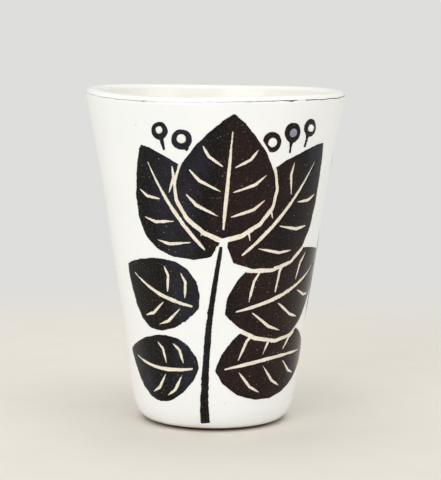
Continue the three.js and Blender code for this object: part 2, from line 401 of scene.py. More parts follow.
whiteFinish = {
    "colour": srgb(248, 249, 248),
    "shade": srgb(245, 247, 246),
    "thin": srgb(241, 228, 208),
    # bare: the clay below the coat's edge, painted darker than the clay's own colour as shade under the foot
    "bare": srgb(92, 58, 34),
    "speck": srgb(214, 202, 186),
    "speckShow": 0.6,
    "thinBetween": (1.55, 2.9),  # over these heights the coat runs thin at the lower edge
    "thinWander": 1.1,
    "bareBetween": (1.2, 1.7),  # and over these it ends
    "bareWander": 0.5,
    "bareRoughness": 0.55,
    "skin": (45.0, 520.0, 0.2, 0.02),
    "gloss": (0.16, 0.1),
    "specular": 0.45,
    "relief": (0.35, 0.12),
}


def paintWhiteGlaze(tree, finish):
    skin = skinOf(tree, finish)
    colour = mixColour(tree, skin["Mottle"], finish["shade"], finish["colour"])
    colour = speckled(tree, skin, colour, finish)
    thinEdge = plus(tree, skin["Height"], times(tree, skin["Mottle"], finish["thinWander"]))
    thin = ramp(tree, thinEdge, *finish["thinBetween"], 1.0, 0.0)
    colour = mixColour(tree, thin, colour, finish["thin"])
    # the clay band under the coat's edge is real, but painted dark for the shade under the foot
    bareEdge = plus(tree, skin["Height"], times(tree, skin["Ripple"], finish["bareWander"]))
    bare = ramp(tree, bareEdge, *finish["bareBetween"], 1.0, 0.0)
    colour = mixColour(tree, bare, colour, finish["bare"])
    dull = times(tree, bare, finish["bareRoughness"])
    return colour, plus(tree, glossOf(tree, skin["Mottle"], finish), dull), skin["Ripple"]


creamFinish = {
    "deep": srgb(251, 245, 232),
    "upper": srgb(254, 252, 245),
    "lip": srgb(248, 249, 247),
    "speck": srgb(214, 190, 150),
    "speckShow": 0.5,
    "upperBetween": (body["height"] * 0.55, body["height"] - 3.0),
    "lipBetween": (body["height"] - 3.4, body["height"] - 1.4),
    "mottleDepth": 0.35,
    "skin": (38.0, 480.0, 0.25, 0.05),
    "gloss": (0.18, 0.11),
    "specular": 0.45,
    "relief": (0.4, 0.16),
}


def paintCreamGlaze(tree, finish):
    skin = skinOf(tree, finish)
    upper = ramp(tree, skin["Height"], *finish["upperBetween"])
    lipShare = ramp(tree, skin["Height"], *finish["lipBetween"])
    colour = mixColour(tree, upper, finish["deep"], finish["upper"])
    colour = mixColour(tree, lipShare, colour, finish["lip"])
    darker = mixColour(tree, finish["mottleDepth"], colour, finish["deep"])
    colour = mixColour(tree, skin["Mottle"], darker, colour)
    return speckled(tree, skin, colour, finish), glossOf(tree, skin["Mottle"], finish), skin["Ripple"]


slipFinish = {
    "neutral": srgb(10, 9, 8),
    # warm and cool: painted reflections laid over the slip's own near-black
    "warm": srgb(36, 18, 17),
    "cool": srgb(33, 34, 45),
    # grain: a fine pale mottle, painted sheen of the glaze's orange peel
    "grain": srgb(60, 53, 52),
    "speck": srgb(180, 166, 160),
    "speckShow": 0.6,
    "fields": (30.0, 30.0, 12.0),  # painted reflections: the warm and the cool patches stand for reflections in the gloss, and are taller than wide
    "fieldNoise": (1.0, 2.0, 0.4),
    "warmBetween": (0.51, 0.6),
    "coolBetween": (0.5, 0.42),
    "streaks": 0.6,
    "grainNoise": (1900.0, 2.0),
    "grainBetween": (0.5, 0.7),
    "grainShow": 0.6,
    "pits": 0.4,
    "skin": (140.0, 1300.0, 0.22, 0.16),
    "gloss": (0.09, 0.14),
    "specular": 0.16,
    "relief": (0.4, 0.12),
}


def paintDarkSlip(tree, finish):
    skin = skinOf(tree, finish)
    place = objectPlace(tree)
    # painted reflections: warm and cool patches of colour stand for what the glossy slip reflects
    fields = noiseNode(tree, stretched(tree, place, finish["fields"]), *finish["fieldNoise"])
    warm = ramp(tree, fields, *finish["warmBetween"])
    cool = ramp(tree, fields, *finish["coolBetween"])
    colour = mixColour(tree, warm, finish["neutral"], finish["warm"])
    colour = mixColour(tree, cool, colour, finish["cool"])
    streaks = times(tree, skin["Mottle"], finish["streaks"])
    colour = mixColour(tree, streaks, colour, finish["neutral"])
    # painted sheen: a fine pale grain stands for glints on the glossy surface
    grain = noiseNode(tree, place, *finish["grainNoise"])
    paintedSheenGrain = ramp(tree, grain, *finish["grainBetween"], 0.0, finish["grainShow"])
    colour = speckled(tree, skin, mixColour(tree, paintedSheenGrain, colour, finish["grain"]), finish)
    relief = minus(tree, skin["Ripple"], times(tree, skin["Specks"], finish["pits"]))
    return colour, glossOf(tree, skin["Mottle"], finish), relief


scratchFinish = {
    "colour": srgb(248, 242, 228),
    "deep": srgb(222, 204, 176),
    "speck": srgb(222, 204, 176),
    "speckShow": 0.5,
    "evenness": 0.45,
    "skin": (700.0, 1500.0, 0.3, 0.15),
    "gloss": (0.3, 0.2),
    "specular": 0.5,
    "relief": (0.5, 0.05),
}


def paintScratchedLine(tree, finish):
    skin = skinOf(tree, finish)
    colour = mixColour(tree, skin["Mottle"], finish["deep"], finish["colour"])
    colour = mixColour(tree, finish["evenness"], colour, finish["colour"])
    return speckled(tree, skin, colour, finish), glossOf(tree, skin["Mottle"], finish), skin["Mottle"]


clayFinish = {
    "colour": srgb(176, 146, 114),
    "dark": srgb(134, 103, 76),
    "grain": srgb(206, 184, 154),
    "toasted": srgb(58, 36, 21),  # painted shade: the clay goes dark outward from the foot's edge, where it meets the floor
    "toastedBetween": (body["footOuter"] - 0.3, body["footOuter"] + 0.4),
    "stainNoise": (110.0, 4.0),
    "toothNoise": (2600.0, 3.0),
    "grainScale": 1000.0,
    "grainBetween": (0.15, 0.4),
    "grainShow": 0.45,
    "grainRelief": 0.7,
    "gloss": (0.9, 0.75),
    "specular": 0.2,
    "relief": (0.6, 0.12),
}


def paintBareClay(tree, finish):
    place = objectPlace(tree)
    stain = noiseNode(tree, place, *finish["stainNoise"])
    colour = mixColour(tree, stain, finish["dark"], finish["colour"])
    cells = cellNode(tree, place, finish["grainScale"])
    grains = ramp(tree, cells["Distance"], *finish["grainBetween"], 1.0, 0.0)
    colour = mixColour(tree, times(tree, grains, finish["grainShow"]), colour, finish["grain"])
    # painted shade: darker outward from the foot's outer edge, for the shade where the foot meets the floor
    fromAxis = times(tree, lengthOf(tree, levelPart(tree, place)), 1 / mm)
    toasted = ramp(tree, fromAxis, *finish["toastedBetween"])
    colour = mixColour(tree, toasted, colour, finish["toasted"])
    tooth = noiseNode(tree, place, *finish["toothNoise"])
    relief = plus(tree, tooth, times(tree, grains, finish["grainRelief"]))
    return colour, glossOf(tree, grains, finish), relief


rimFinish = {
    "dark": srgb(52, 29, 24),
    "faint": srgb(206, 198, 204),
    "strengthAttribute": "lineStrength",
    "strengthGain": 1.45,
    "broken": 0.5,
    "skin": (500.0, 1100.0, 0.4, 0.3),
    "gloss": (0.3, 0.42),
    "specular": 0.3,
    "relief": (0.3, 0.05),
}


def paintRimIron(tree, finish):
    skin = skinOf(tree, finish)
    strength = addNode(tree, "ShaderNodeAttribute", {"attribute_name": finish["strengthAttribute"]})
    strong = times(tree, strength.outputs["Fac"], finish["strengthGain"])
    broken = times(tree, skin["Mottle"], finish["broken"])
    shown = mathNode(tree, "SUBTRACT", strong, broken, clamp=True)
    colour = mixColour(tree, shown, finish["faint"], finish["dark"])
    return colour, glossOf(tree, skin["Mottle"], finish), skin["Mottle"]


dotTints = {
    "white": {"pale": srgb(250, 250, 247), "deep": srgb(240, 238, 230)},
    "lilac": {"pale": srgb(152, 149, 172), "deep": srgb(122, 118, 142)},
}
dotFinish = {
    "skin": (420.0, 1500.0, 0.25, 0.1),
    "gloss": (0.12, 0.07),
    "specular": 0.5,
    "relief": (0.3, 0.05),
}


def paintDotGlaze(tree, finish):
    skin = skinOf(tree, finish)
    colour = mixColour(tree, skin["Mottle"], finish["deep"], finish["pale"])
    return colour, glossOf(tree, skin["Mottle"], finish), skin["Ripple"]


whiteGlaze = makeMaterial("whiteGlaze", whiteFinish, paintWhiteGlaze)
creamGlaze = makeMaterial("creamGlaze", creamFinish, paintCreamGlaze)
darkSlip = makeMaterial("darkSlip", slipFinish, paintDarkSlip)
scratchedLine = makeMaterial("scratchedLine", scratchFinish, paintScratchedLine)
bareClay = makeMaterial("bareClay", clayFinish, paintBareClay)
rimIron = makeMaterial("rimIron", rimFinish, paintRimIron)
dotGlazes = {
    tint: makeMaterial(f"{tint}DotGlaze", dict(dotFinish, **tones), paintDotGlaze)
    for tint, tones in dotTints.items()
}
print("finishes are made")


# the profile that everything follows

profileSteps = {
    "edge": 24,
    "side": 100,
    "innerFloor": 18,
    "innerCorner": 22,
    "innerWall": 84,
    "coatLip": 10,
    "coatLipBack": 8,
    "linerLip": 36,
    "linerLipBack": 16,
    "footEdge": 12,
    "underFloor": 24,
    "backEvery": 3,  # behind a coat every third point is enough
}


def lipPoint(radius, angle):
    centre = (body["rimRadius"] - body["lipRadius"], body["height"] - body["lipRadius"])
    return (centre[0] + radius * math.cos(angle), centre[1] + radius * math.sin(angle))


def onLip(angle):
    return lipPoint(body["lipRadius"], angle)


def underLip(angle):
    return lipPoint(body["lipRadius"] - body["coat"], angle)


def cornerPoint(flat, run, low, rise, angle):
    # part of an oval that leaves the end of a flat level and turns upwards
    return (flat + run * math.sin(angle), low + rise * (1 - math.cos(angle)))


def edgePoint(angle):
    return cornerPoint(body["footOuter"], body["edgeRun"], 0, body["edgeRise"], angle)


def spread(place, start, end, steps):
    return [place(start + (end - start) * i / steps) for i in range(steps + 1)]


def splineThrough(points, steps):
    # smooth curve through the points, each stretch bending by its neighbours
    points = np.array(points, float)
    last = len(points) - 1
    curve = []
    for k in range(steps + 1):
        t = k / steps * last
        i = min(int(t), last - 1)
        w = t - i
        p0, p1, p2, p3 = points[max(i - 1, 0)], points[i], points[i + 1], points[min(i + 2, last)]
        v1, v2 = (p2 - p0) / 2, (p3 - p1) / 2
        curve.append(
            (2 * p1 - 2 * p2 + v1 + v2) * w ** 3 + (-3 * p1 + 3 * p2 - 2 * v1 - v2) * w ** 2 + v1 * w + p1
        )
    return curve


edgeStart = math.acos(1 - body["footHeight"] / body["edgeRise"])
sideStart = np.array(edgePoint(body["edgeEnd"]))
sideEnd = np.array(onLip(-body["lipLean"]))
stations = [sideStart + (sideEnd - sideStart) * share - (inset, 0) for share, inset in body["sideInsets"]]
sidePoints = [sideStart] + stations + [sideEnd]
edgeCurve = spread(edgePoint, edgeStart, body["edgeEnd"], profileSteps["edge"])
sideCurve = [tuple(p) for p in splineThrough(sidePoints, profileSteps["side"])]
outerCurve = edgeCurve + sideCurve[1:]
outerRadii = np.array([p[0] for p in outerCurve])
outerHeights = np.array([p[1] for p in outerCurve])
outerLean = np.gradient(outerRadii, outerHeights)


def sideRadius(z):
    return np.interp(z, outerHeights, outerRadii)


def onSide(flat, raised):
    # points given as arc length from the middle and height, laid on the side and raised off it
    s, z = flat[:, 0], flat[:, 1]
    radius = sideRadius(z)
    lean = np.interp(z, outerHeights, outerLean)
    size = np.sqrt(1 + lean ** 2)
    angle = s / radius
    r = radius + raised / size
    return np.column_stack([r * np.sin(angle), -r * np.cos(angle), z - raised * lean / size]) * mm


def innerRadius(z):
    share = (z - body["floorTop"]) / (body["height"] - body["floorTop"])
    return float(sideRadius(z)) - body["lowWall"] - (body["lipWall"] - body["lowWall"]) * share


innerTop = body["floorTop"] + body["innerRise"] * (1 - math.cos(body["innerEnd"]))
innerRun = (innerRadius(innerTop) - body["innerFlat"]) / math.sin(body["innerEnd"])
innerLast = onLip(math.pi - body["lipLean"])


def innerCornerPoint(angle):
    return cornerPoint(body["innerFlat"], innerRun, body["floorTop"], body["innerRise"], angle)


innerFloor = spread(lambda r: (r, body["floorTop"]), 0, body["innerFlat"], profileSteps["innerFloor"])
innerCorner = spread(innerCornerPoint, 0, body["innerEnd"], profileSteps["innerCorner"])
innerWall = spread(lambda z: (innerRadius(z), z), innerTop, innerLast[1], profileSteps["innerWall"])
innerCurve = innerFloor + innerCorner[1:] + innerWall[1:-1] + [innerLast]


def acrossOf(along):
    # unit directions square to the given ones
    along = along / np.maximum(np.linalg.norm(along, axis=1), tiny)[:, None]
    return np.column_stack([along[:, 1], -along[:, 0]])


def acrossLine(line):
    return acrossOf(np.gradient(line, axis=0))


def acrossLoop(loop):
    return acrossOf(np.roll(loop, -1, axis=0) - np.roll(loop, 1, axis=0))


def moved(curve, distance):
    curve = np.array(curve, float)
    return [tuple(p) for p in curve + acrossLine(curve) * distance]


# small helpers for the Geometry Nodes trees

def shapeTree(name, inputs):
    return newGroup(name, "GeometryNodeTree", {"Geometry": "Geometry", **inputs}, {"Geometry": "Geometry"})


def shapeNode(tree, kind, inputs, settings=None):
    return addNode(tree, f"GeometryNode{kind}", settings, inputs).outputs["Geometry"]


def pointPlace(tree):
    return addNode(tree, "GeometryNodeInputPosition").outputs["Position"]


def attributeNode(tree, kind, name):
    settings = {"data_type": kind}
    return addNode(tree, "GeometryNodeInputNamedAttribute", settings, {"Name": name}).outputs["Attribute"]


def inMaterial(tree, geometry, material, chosen=True):
    inputs = {"Geometry": geometry, "Material": material, "Selection": chosen}
    return shapeNode(tree, "SetMaterial", inputs)


def realised(tree, geometry):
    return shapeNode(tree, "RealizeInstances", {"Geometry": geometry})


def finishTree(tree, out, geometry, material):
    join(tree, out, {"Geometry": inMaterial(tree, realised(tree, geometry), material)})
    return tree


# the turned body

def handMadeTree():
    # gives every piece the same hand-made wobble and the same warped rim
    tree, into, out = shapeTree("handMade", {
        "Wobble": hand["wobble"] * mm,
        "Rim Shake": hand["rimShake"] * mm,
        "Rim Warp": mm,  # times the heights of the rim's waves
        "Feature": hand["feature"] * mm,
    })
    place = pointPlace(tree)
    scale = mathNode(tree, "DIVIDE", 1.0, into["Feature"])

    def slowWave(seed):
        # the noise stays near a quarter of its middle, so four times that reaches about one
        wave = noiseNode(tree, place, scale, hand["waveDetail"], seed=seed)
        return times(tree, minus(tree, wave, 0.5), 4.0)

    level = levelPart(tree, place)
    outward = vectorNode(tree, "NORMALIZE", {0: level})["Vector"]
    clear = ramp(tree, lengthOf(tree, level), *(distance * mm for distance in hand["wobbleBetween"]))
    inAndOut = times(tree, slowWave(hand["sideSeed"]), into["Wobble"], clear)
    sideways = vectorNode(tree, "SCALE", {0: outward, "Scale": inAndOut})["Vector"]

    parts = partsOf(tree, place)
    around = mathNode(tree, "ARCTAN2", parts["X"], times(tree, parts["Y"], -1.0))
    warp = hand["rimRise"]
    for count, rise, peak in hand["rimWaves"]:
        turned = minus(tree, around, math.radians(peak))
        wave = mathNode(tree, "COSINE", times(tree, turned, float(count)))
        warp = plus(tree, times(tree, wave, rise), warp)
    shake = times(tree, slowWave(hand["rimSeed"]), into["Rim Shake"])
    upAndDown = plus(tree, shake, times(tree, warp, into["Rim Warp"]))
    nearRim = ramp(tree, parts["Z"], body["height"] * hand["rimFrom"] * mm, body["height"] * mm)
    lifted = vectorOf(tree, {"Z": times(tree, upAndDown, nearRim)})
    both = vectorNode(tree, "ADD", {0: sideways, 1: lifted})["Vector"]
    shape = shapeNode(tree, "SetPosition", {"Geometry": into["Geometry"], "Offset": both})
    join(tree, out, {"Geometry": shape})
    return tree


handMade = handMadeTree()


def wobbled(tree, geometry):
    return shapeNode(tree, "Group", {"Geometry": geometry}, {"node_tree": handMade})


def turnedFormTree():
    # sweeps a profile, given as a string of points in X and Z, once round the axis
    tree, into, out = shapeTree("turnedForm", {"Steps": 300, "Weld": 0.001 * mm, "Material": "Material"})
    profile, steps = into["Geometry"], into["Steps"]
    count = addNode(tree, "GeometryNodeAttributeDomainSize", {"component": "MESH"}, {0: profile})
    rows = count.outputs["Point Count"]
    grid = addNode(tree, "GeometryNodeMeshGrid", None, {
        "Vertices X": plus(tree, steps, 1.0), "Vertices Y": rows,
    })
    # the grid's points run up one column after another; a quarter more than the index keeps
    # the division clear of whole numbers
    index = addNode(tree, "GeometryNodeInputIndex").outputs[0]
    row = mathNode(tree, "MODULO", index, rows)
    column = mathNode(tree, "FLOOR", mathNode(tree, "DIVIDE", plus(tree, index, 0.25), rows))
    settings = {"data_type": "FLOAT_VECTOR", "domain": "POINT"}
    pick = addNode(tree, "GeometryNodeSampleIndex", settings, {
        "Geometry": profile, "Value": pointPlace(tree), "Index": row,
    })
    swing = addNode(tree, "ShaderNodeVectorRotate", {"rotation_type": "Z_AXIS"}, {
        "Vector": pick.outputs["Value"],
        "Angle": times(tree, mathNode(tree, "DIVIDE", column, steps), 2 * math.pi),
    })
    shape = shapeNode(tree, "SetPosition", {
        "Geometry": grid.outputs["Mesh"], "Position": swing.outputs["Vector"],
    })
    shape = shapeNode(tree, "MergeByDistance", {"Geometry": shape, "Distance": into["Weld"]})
    return finishTree(tree, out, wobbled(tree, shape), into["Material"])


turnedForm = turnedFormTree()


def settle(name, source, tree, values):
    # runs a tree on an object and keeps the result as a plain mesh
    modifier = source.modifiers.new("form", "NODES")
    modifier.node_group = tree
    for item in tree.interface.items_tree:
        if item.item_type == "SOCKET" and item.in_out == "INPUT" and item.name in values:
            modifier[item.identifier] = values[item.name]
    bpy.context.view_layer.update()
    depsgraph = bpy.context.evaluated_depsgraph_get()
    mesh = bpy.data.meshes.new_from_object(source.evaluated_get(depsgraph))
    source.modifiers.remove(modifier)
    bpy.data.meshes.remove(source.data)  # takes the source object with it
    mesh.name = name
    return mesh


def facingOut(mesh):
    shape = bmesh.new()
    shape.from_mesh(mesh)
    bmesh.ops.recalc_face_normals(shape, faces=shape.faces)
    if shape.calc_volume(signed=True) < 0:
        bmesh.ops.reverse_faces(shape, faces=shape.faces)
    shape.to_mesh(mesh)
    shape.free()


def finishPiece(name, mesh, node, sharpAngle=45):
    facingOut(mesh)
    mesh.shade_smooth()
    mesh.set_sharp_from_angle(angle=math.radians(sharpAngle))
    piece = newObject(name, mesh)
    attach(piece, "root")
    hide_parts(node)
    print(f"{name}: {sum(len(p.vertices) - 2 for p in mesh.polygons)} triangles")


def sourceFrom(name, vertices, edges, faces):
    mesh = bpy.data.meshes.new(name)
    mesh.from_pydata(vertices, edges, faces)
    return newObject(name, mesh)


def setAttribute(source, name, kind, domain, values):
    layer = source.data.attributes.new(name, kind, domain)
    layer.data.foreach_set("value", values)


def turnPiece(name, profile, material, node, steps):
    points = [(r * mm, 0, z * mm) for r, z in profile]
    source = sourceFrom(name, points, [(i, i + 1) for i in range(len(points) - 1)], [])
    mesh = settle(name, source, turnedForm, {"Steps": steps, "Material": material})
    finishPiece(name, mesh, node)


def closed(profile):
    return profile + [profile[0]]


rim = {
    "lineAngle": math.radians(16.5),  # where the line sits on the round of the lip, up from level
    "points": 720,
    "sides": 10,
    "widthAttribute": "lineWidth",
    "halfWidth": 0.16,
    "faintWidth": 0.4,  # share of the width where the line has no strength
    "widthGain": 0.75,
    "thickness": 0.34,  # as a share of the width
    "wander": 0.16,
    "wanderPace": 9.0,
    "uneven": 0.35,
    "unevenPace": 2.7,
    "unevenFrom": (0, 0, 5),  # another part of the noise than the wander's
    "blob": 0.14,
}
turnSteps = {"coats": 300, "clay": 240}


def makeWhiteCoat():
    every = profileSteps["backEvery"]
    start, end = -body["lipLean"], rim["lineAngle"]
    outer = outerCurve[:-1] + spread(onLip, start, end, profileSteps["coatLip"])
    back = [(outerCurve[0][0] - body["coatFootWidth"], body["footHeight"])]
    back += moved(outerCurve, -body["coat"])[every:-1:every]
    back += spread(underLip, start, end, profileSteps["coatLipBack"])
    profile = closed(outer + back[::-1])
    turnPiece("white_coat", profile, whiteGlaze, "outer_glaze", turnSteps["coats"])


def makeCreamLiner():
    every = profileSteps["backEvery"]
    start, end = rim["lineAngle"], math.pi - body["lipLean"]
    back = moved(innerCurve, body["coat"])[:-1]
    back[0] = (0.0, body["floorTop"] - body["coat"])
    over = spread(onLip, start, end, profileSteps["linerLip"])
    under = spread(underLip, start, end, profileSteps["linerLipBack"])
    profile = back[::every] + under[::-1] + over + innerCurve[:-1][::-1]
    turnPiece("cream_liner", profile, creamGlaze, "liner_glaze", turnSteps["coats"])


clay = {
    "wear": 0.35,  # worn corners of the foot
    "innerWear": 0.3,  # shares of it
    "outerWear": 0.6,
    "edgeStart": 0.06,
    "outsideFrom": 2.4,  # the lower edge follows the two coats between these heights
    "outsideTo": 12.3,
    "insideFrom": 0.2,  # past the flat of the floor
    "insideTo": 15.4,
}


def makeFoot():
    wear = clay["wear"]
    inner, outer = body["footInner"], body["footOuter"]
    ring = [
        (inner, body["footHeight"]),
        (inner, wear),
        (inner + wear * clay["innerWear"], wear * clay["innerWear"]),
        (inner + wear, 0.0),
        (outer - wear * clay["outerWear"], 0.0),
    ]
    ring += spread(edgePoint, clay["edgeStart"], edgeStart, profileSteps["footEdge"])
    turnPiece("foot_clay", closed(ring), bareClay, "foot_ring", turnSteps["clay"])


def makeFloorAndEdge():
    flat, low, top = body["innerFlat"], body["footHeight"], body["floorTop"] - body["coat"]
    floor = spread(lambda r: (r, low), 0, flat, profileSteps["underFloor"]) + [(flat, top), (0, top)]
    turnPiece("floor_clay", floor, bareClay, "clay_floor", turnSteps["clay"])
    outside = moved(outerCurve, -body["coat"])
    inside = moved(innerCurve, body["coat"])
    edge = [(flat, low), (outerCurve[0][0] - body["coatFootWidth"], low)]
    edge += [p for p in outside if clay["outsideFrom"] < p[1] < clay["outsideTo"]]
    edge += [p for p in inside if p[0] > flat + clay["insideFrom"] and p[1] < clay["insideTo"]][::-1]
    edge += [(flat, top)]
    turnPiece("edge_clay", closed(edge), bareClay, "clay_lower_edge", turnSteps["clay"])


# how strong, faint or broken the dark line is: degrees from the front to the right, and strength
lineMarks = [
    (-180, 0.7), (-140, 0.8), (-108, 0.6), (-88, 0.36), (-66, 0.42), (-50, 0.5), (-40, 0.48), (-34, 0.54),
    (-31.8, 0.9), (-29.4, 0.3), (-24, 0.28), (-12, 0.22), (-4, 0.3), (2, 0.36), (8, 0.42), (12, 0.58),
    (20, 0.7), (28, 0.75), (32, 0.95), (34, 1.0), (36.6, 0.85), (38.2, 0.12), (40.9, 0.12), (42.3, 0.95),
    (52, 0.8), (64, 0.9), (84, 1.0), (110, 0.75), (150, 0.85), (180, 0.7),
]
# and where it ran into a blob: degrees, width and depth
lineBlobs = [(-31.8, 0.7, 0.4), (34, 1.2, 0.9), (42.6, 0.7, 0.5), (-118, 0.9, 0.9), (152, 0.8, 0.8)]


def rimLineTree():
    # a thin bead that follows the lip, as wide at each point as the attribute says
    tree, into, out = shapeTree("rimLine", {
        "Sides": rim["sides"],
        "Thickness": rim["thickness"],
        "Lean": rim["lineAngle"],
        "Material": "Material",
    })
    path = addNode(tree, "GeometryNodeMeshToCurve", None, {"Mesh": into["Geometry"]})
    upright = addNode(tree, "GeometryNodeSetCurveNormal", {"mode": "Z_UP"}, {"Curve": path.outputs["Curve"]})
    section = addNode(tree, "GeometryNodeCurvePrimitiveCircle", None, {
        "Resolution": into["Sides"], "Radius": 1.0,
    })
    lens = shapeNode(tree, "Transform", {
        "Geometry": section.outputs["Curve"],
        "Scale": vectorOf(tree, {"X": into["Thickness"], "Y": 1.0, "Z": 1.0}),
        "Rotation": vectorOf(tree, {"Z": into["Lean"]}),
    })
    bead = addNode(tree, "GeometryNodeCurveToMesh", None, {
        "Curve": upright.outputs["Curve"],
        "Profile Curve": lens,
        "Scale": attributeNode(tree, "FLOAT", rim["widthAttribute"]),
    })
    return finishTree(tree, out, wobbled(tree, bead.outputs["Mesh"]), into["Material"])


def makeRimLine():
    count = rim["points"]
    degrees = np.linspace(-180, 180, count, endpoint=False)
    angles = np.radians(degrees)
    strength = np.interp(degrees, [at for at, _ in lineMarks], [mark for _, mark in lineMarks])
    places = [Vector((math.cos(a), math.sin(a), 0)) * rim["wanderPace"] for a in angles]
    middle = np.array([rim["wander"] * noise.noise(v) for v in places])
    apart = [v * rim["unevenPace"] + Vector(rim["unevenFrom"]) for v in places]
    uneven = np.array([1 + rim["uneven"] * noise.noise(v) for v in apart])
    half = rim["halfWidth"] * uneven * (rim["faintWidth"] + rim["widthGain"] * strength)
    for at, width, depth in lineBlobs:
        swollen = rim["blob"] * depth * np.exp(-((degrees - at) / width) ** 2)
        half += swollen
        middle -= swollen
    points = []
    for a, rise in zip(angles, middle):
        r, z = onLip(rim["lineAngle"] + rise / body["lipRadius"])
        points.append((r * math.sin(a) * mm, -r * math.cos(a) * mm, z * mm))
    source = sourceFrom("rimLine", points, [(i, (i + 1) % count) for i in range(count)], [])
    setAttribute(source, rim["widthAttribute"], "FLOAT", "POINT", half * mm)
    setAttribute(source, rimFinish["strengthAttribute"], "FLOAT", "POINT", strength)
    mesh = settle("iron_line", source, rimLineTree(), {"Material": rimIron})
    finishPiece("iron_line", mesh, "rim_line")


makeWhiteCoat()
makeCreamLiner()
makeFoot()
makeFloorAndEdge()
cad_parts["clay_wall"].data.materials[0] = bareClay  # this solid stays, between the coats
makeRimLine()
print("the turned body and its dark line are made")


# the slip drawing

drawing = {
    "thickness": 0.16,
    "shoulder": 0.22,  # the slip rounds off over this width at its edges
    "edgeShare": 0.5,  # to this share of its thickness
    "sunk": 0.15,
    "floorRaise": 0.015,  # the scratched floor over the white coat
    "outlineWidth": 1.1,
    "pointOutline": 1.7,
    "step": 0.36,
    "fewestPoints": 12,
    "grid": 1.1,
    "weld": 1e-5,
    "sharpAngle": 60,
    "scratchedAttribute": "scratched",
}
# how a cut edge shakes: how far, and how fast it changes along the drawing
shaking = {
    "width": 0.12,
    "slow": 1.6,
    "slowPace": 0.35,
    "quick": 0.9,
    "quickPace": 2.1,
    "torn": 4.2,  # how much rougher the edge is where the slip broke away
    "tornPace": 0.12,
}
# each kind of edge shakes in its own way
seeds = {"rib": 20, "vein": 30, "stem": 40, "stemBorder": 41, "border": 60, "berry": 80}

# from the front leaf back: base on the unrolled side, turn in degrees, length, width, how far
# the midrib bows, and its pairs of veins
leaves = {
    "top": {"s": 2.5, "z": 65, "turn": 5, "length": 40, "width": 33, "bow": 0, "pairs": 3},
    "upper_right": {"s": 6, "z": 57, "turn": 44, "length": 52, "width": 30, "bow": 2, "pairs": 3},
    "upper_left": {"s": -1, "z": 59, "turn": -34, "length": 43, "width": 27, "bow": -2, "pairs": 3},
    "middle_right": {"s": 3.5, "z": 40, "turn": 70, "length": 50, "width": 29, "bow": 2, "pairs": 3},
    "middle_left": {"s": -4.8, "z": 42, "turn": -66, "length": 31, "width": 25, "bow": -2, "pairs": 2},
    "lower_right": {"s": 0.5, "z": 21, "turn": 86, "length": 44, "width": 27, "bow": -2, "pairs": 3},
    "lower_left": {"s": -4.6, "z": 22, "turn": -84, "length": 30, "width": 23, "bow": -2.5, "pairs": 2},
    "side": {"s": 57, "z": 22, "turn": 6, "length": 50, "width": 29, "bow": 2, "pairs": 3},
    "side_top": {"s": 66, "z": 73, "turn": 20, "length": 29, "width": 20, "bow": 0, "pairs": 2},
}
leafForm = {
    "lean": 0.78,  # under 1 the leaf is widest below its middle
    "fullness": 0.85,
    "shares": [0.05, 0.15, 0.28, 0.42, 0.56, 0.7, 0.84, 0.94],  # where along it the outline has points
}

# scratches, thin at both ends. swell: how far in they start, lean and fullness
rib = {
    "between": (0.07, 0.86),
    "steps": 14,
    "width": 1.24,
    "thinnest": 0.12,
    "swell": (0.03, 0.7, 0.6),
    "rough": 0.8,
}
vein = {
    "first": 0.16,
    "spacing": 0.2,
    "length": 0.17,
    "offMidrib": 1.9,
    "startRise": 0.6,
    "reach": 0.8,
    "bendAt": 0.62,  # share of its length
    "bendBy": (0.5, -0.9),
    "pointsBelow": 6,
    "pointsAbove": 5,
    "width": 1.0,
    "thinnest": 0.1,
    "swell": (0.05, 1.0, 0.8),
    "rough": 0.7,
}

# place on the unrolled side, and width there, from the foot up
stem = {
    "line": [
        (-2.6, 3.2, 3.0), (-2.9, 12, 2.6), (-2.4, 25, 2.2), (-1.2, 40, 1.9), (0.8, 54, 1.5), (2.2, 62.4, 1.1),
    ],
    "steps": 30,
}

# middle on the unrolled side, radius, way the stalk points in degrees, radius and glaze of the dot
berries = [
    {"s": 18.6, "z": 95.6, "radius": 3.3, "stalk": 235, "dot": 1.5, "glaze": "white"},
    {"s": 26.2, "z": 98.4, "radius": 3.2, "stalk": 262, "dot": 1.4, "glaze": "lilac"},
    {"s": 33.8, "z": 99.6, "radius": 2.9, "stalk": 250, "dot": 1.2, "glaze": "white"},
    {"s": -10.6, "z": 96.8, "radius": 3.3, "stalk": 300, "dot": 1.5, "glaze": "white"},
    {"s": -18.0, "z": 99.4, "radius": 2.9, "stalk": 285, "dot": 1.2, "glaze": "white"},
]
berryStalk = {"halfWidth": 0.55, "tipShare": 0.8, "reach": 3.6, "ringPoints": 40}


def midrib(leaf, t):
    return leaf["bow"] * math.sin(math.pi * t)


def halfWidth(leaf, t):
    return leaf["width"] / 2 * max(math.sin(math.pi * t ** leafForm["lean"]), 0) ** leafForm["fullness"]


def laid(leaf, points):
    turn = math.radians(leaf["turn"])
    return [
        (
            leaf["s"] + across * math.cos(turn) + along * math.sin(turn),
            leaf["z"] - across * math.sin(turn) + along * math.cos(turn),
        )
        for across, along in points
    ]


def leafOutline(leaf):
    right, left = (
        [(midrib(leaf, t) + sign * halfWidth(leaf, t), leaf["length"] * t) for t in leafForm["shares"]]
        for sign in (1, -1)
    )
    return laid(leaf, [(0, 0)] + right + [(0, leaf["length"])] + left[::-1])


def grown(leaf):
    turn = math.radians(leaf["turn"])
    reach = drawing["pointOutline"]
    return dict(
        leaf,
        s=leaf["s"] - reach * math.sin(turn),
        z=leaf["z"] - reach * math.cos(turn),
        length=leaf["length"] + 2 * reach,
        width=leaf["width"] + 2 * drawing["outlineWidth"],
    )


def shakeAt(s, z, seed):
    # each shake reads a layer of its own in the noise
    slow, quick, torn = (
        noise.noise(Vector((s * shaking[pace], z * shaking[pace], seed + layer)))
        for pace, layer in (("slowPace", 0), ("quickPace", 9), ("tornPace", 4))
    )
    return slow * shaking["slow"] + quick * (shaking["quick"] + shaking["torn"] * max(torn, 0))


